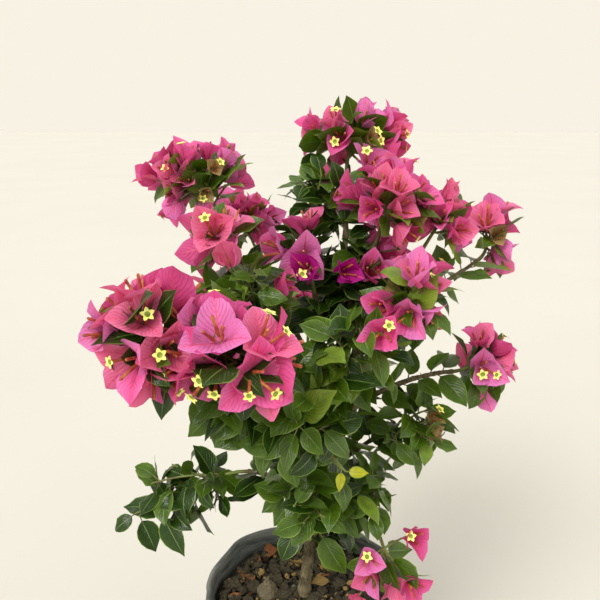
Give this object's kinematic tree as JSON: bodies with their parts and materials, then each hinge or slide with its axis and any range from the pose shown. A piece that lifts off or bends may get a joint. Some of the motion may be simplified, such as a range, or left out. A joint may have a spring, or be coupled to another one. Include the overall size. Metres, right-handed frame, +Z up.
{
  "type": "potted bougainvillea bush",
  "caption": "Bushy bougainvillea with papery pink bracts at its branch ends, growing on one short trunk out of dark soil in a round soft plastic nursery pot.",
  "frame": {"origin": "the middle of the pot's flat underside, on the ground", "axes": "+Z up along the plant, +X to the right and -Y towards the viewer of the plant's fullest side"},
  "size_m": [0.3753, 0.3899, 0.6442],
  "materials": {
    "pot": "satin black",
    "soil": "rough, damp",
    "bark": "rough",
    "young_bark": "rough",
    "blossom": "papery, matt",
    "leaf": "satin green"
  },
  "bodies": {
    "root": {"pot": "pot", "soil": "soil", "trunk": "bark", "bough_front_left": "young_bark", "bough_far_left": "young_bark", "bough_left_front_leafy": "young_bark", "bough_front_leafy": "young_bark", "bough_upper_left": "young_bark", "bough_left_bloom": "young_bark", "bough_left_leafy": "young_bark", "bough_left_inner": "young_bark", "bough_top": "young_bark", "bough_top_leafy": "young_bark", "bough_top_right": "young_bark", "bough_middle": "young_bark", "bough_upper_right": "young_bark", "bough_right_tip": "young_bark", "bough_front_right": "young_bark", "bough_centre_leafy": "young_bark", "bough_right": "young_bark", "bough_right_leafy": "young_bark", "bough_low_right": "young_bark", "bough_low_left": "young_bark", "bough_back_left_leafy": "young_bark", "bough_back_left": "young_bark", "bough_back_right": "young_bark", "bough_back_right_leafy": "young_bark", "bough_back_low": "young_bark", "blossom_far_left": "blossom", "blossom_front_left": "blossom", "blossom_left": "blossom", "blossom_upper_left": "blossom", "blossom_top": "blossom", "blossom_top_right": "blossom", "blossom_upper_right": "blossom", "blossom_right_tip": "blossom", "blossom_front_right": "blossom", "blossom_right": "blossom", "blossom_low_right": "blossom", "blossom_middle": "blossom", "blossom_back_left": "blossom", "blossom_back_right": "blossom", "blossom_back": "blossom", "foliage_top": "leaf", "foliage_left": "leaf", "foliage_left_inner": "leaf", "foliage_left_front": "leaf", "foliage_centre": "leaf", "foliage_front": "leaf", "foliage_low_left": "leaf", "foliage_low_front": "leaf", "foliage_right": "leaf", "foliage_low_right": "leaf", "foliage_heart": "leaf", "foliage_back_left": "leaf", "foliage_back_right": "leaf", "foliage_back_low": "leaf", "foliage_foot": "leaf"}
  },
  "joints": []
}
